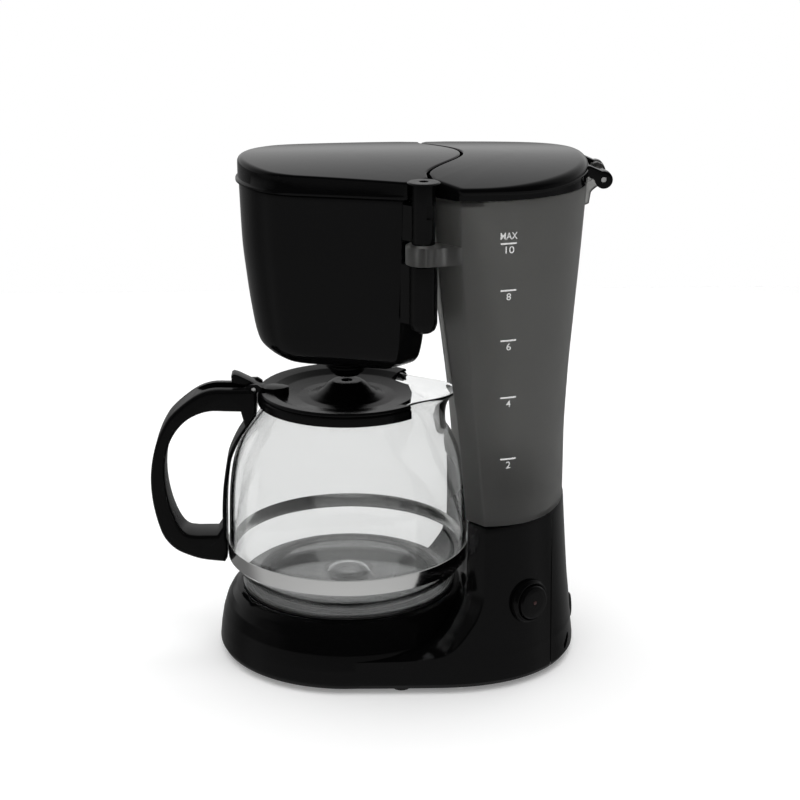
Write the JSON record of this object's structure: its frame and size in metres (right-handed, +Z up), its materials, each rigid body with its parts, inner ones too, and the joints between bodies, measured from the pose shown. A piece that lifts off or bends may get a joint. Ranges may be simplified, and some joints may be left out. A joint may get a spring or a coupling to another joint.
{
  "type": "drip coffee maker",
  "caption": "Drip coffee maker with a smoky see-through water tank, swing-out filter basket, round heated base and a glass jug with a lid and a loop handle.",
  "frame": {"origin": "on the surface that the feet stand on, under the middle of the bounding box", "axes": "+Z up; -X towards the jug's handle, +X towards the tank's lid hinge; -Y is the side with the power button and the basket's pivot"},
  "size_m": [0.2608, 0.1548, 0.294],
  "materials": {
    "gloss_black": "piano black, polished",
    "satin_black": "satin black",
    "smoky_clear": "smoky see-through plastic, frosted inside",
    "clear_glass": "clear glass",
    "steel": "polished stainless steel",
    "coated_steel": "black non-stick coating",
    "aluminium": "raw aluminium",
    "rubber": "black rubber",
    "silicone": "translucent silicone",
    "white_plastic": "white plastic",
    "lens_red": "clear red lens, unlit"
  },
  "bodies": {
    "machine": {"base_housing": "gloss_black", "rear_cover": "gloss_black", "base_cover": "satin_black", "foot_1": "rubber", "foot_2": "rubber", "foot_3": "rubber", "foot_4": "rubber", "foot_5": "rubber", "base_screw_1": "steel", "base_screw_2": "steel", "base_screw_3": "steel", "base_screw_4": "steel", "warming_plate": "coated_steel", "plate_seal": "rubber", "heater_element": "aluminium", "boiler_tube": "aluminium", "heater_clamp": "aluminium", "clamp_screw": "steel", "thermostat": "white_plastic", "thermal_fuse": "steel", "inlet_hose": "silicone", "outlet_hose": "silicone", "hose_clip_1": "steel", "hose_clip_2": "steel", "check_valve_body": "satin_black", "button_bezel": "gloss_black", "switch_body": "white_plastic", "cord_gland": "rubber", "water_tank": "smoky_clear", "tank_strainer": "white_plastic", "tank_gasket": "rubber", "riser_tube": "silicone", "cover_screw_1": "steel", "cover_screw_2": "steel", "water_spout": "satin_black", "shower_head": "satin_black", "front_cover": "gloss_black", "lid_hinge_pin": "steel", "basket_pin": "satin_black"},
    "tank_lid": {"tank_lid": "gloss_black"},
    "basket": {"filter_basket": "gloss_black", "filter_insert": "satin_black", "drip_retainer": "satin_black", "drip_spring": "steel"},
    "drip_stop": {"drip_plunger": "satin_black", "drip_seal": "silicone"},
    "button": {"power_button": "gloss_black", "indicator_lens": "lens_red"},
    "valve_ball": {"check_ball": "white_plastic"},
    "jug": {"jug_glass": "clear_glass", "jug_band": "steel", "jug_collar": "satin_black", "jug_handle": "satin_black", "band_screw": "steel", "jug_lid_pin": "steel"},
    "jug_lid": {"jug_lid": "satin_black"}
  },
  "joints": [
    {"name": "tank_lid_hinge", "type": "hinge", "parent": "machine", "child": "tank_lid", "pos_m": [0.1255, 0, 0.2815], "axis": [0, 1, 0], "range_deg": [0, 95]},
    {"name": "basket_swing", "type": "hinge", "parent": "machine", "child": "basket", "pos_m": [0.0241, -0.067, 0.25], "axis": [0, 0, 1], "range_deg": [0, 105]},
    {"name": "drip_stop_slide", "type": "slide", "parent": "basket", "child": "drip_stop", "axis": [0, 0, -1], "range_m": [0, 0.0026], "deforming": ["drip_spring"]},
    {"name": "power_button_press", "type": "slide", "parent": "machine", "child": "button", "axis": [-0.5912, 0.8048, -0.0523], "range_m": [0, 0.003], "stiffness_N_per_m": 150},
    {"name": "valve_ball_lift", "type": "slide", "parent": "machine", "child": "valve_ball", "axis": [0, 0, 1], "range_m": [0, 0.003]},
    {"name": "jug_slide", "type": "slide", "parent": "machine", "child": "jug", "axis": [-1, 0, 0], "range_m": [0, 0.2]},
    {"name": "jug_lid_hinge", "type": "hinge", "parent": "jug", "child": "jug_lid", "pos_m": [-0.07, 0, 0.1594], "axis": [0, -1, 0], "range_deg": [0, 2.2]}
  ],
  "couplings": [
    {"joint": "drip_stop_slide", "follows": "jug_slide", "ratio": 0.013}
  ]
}
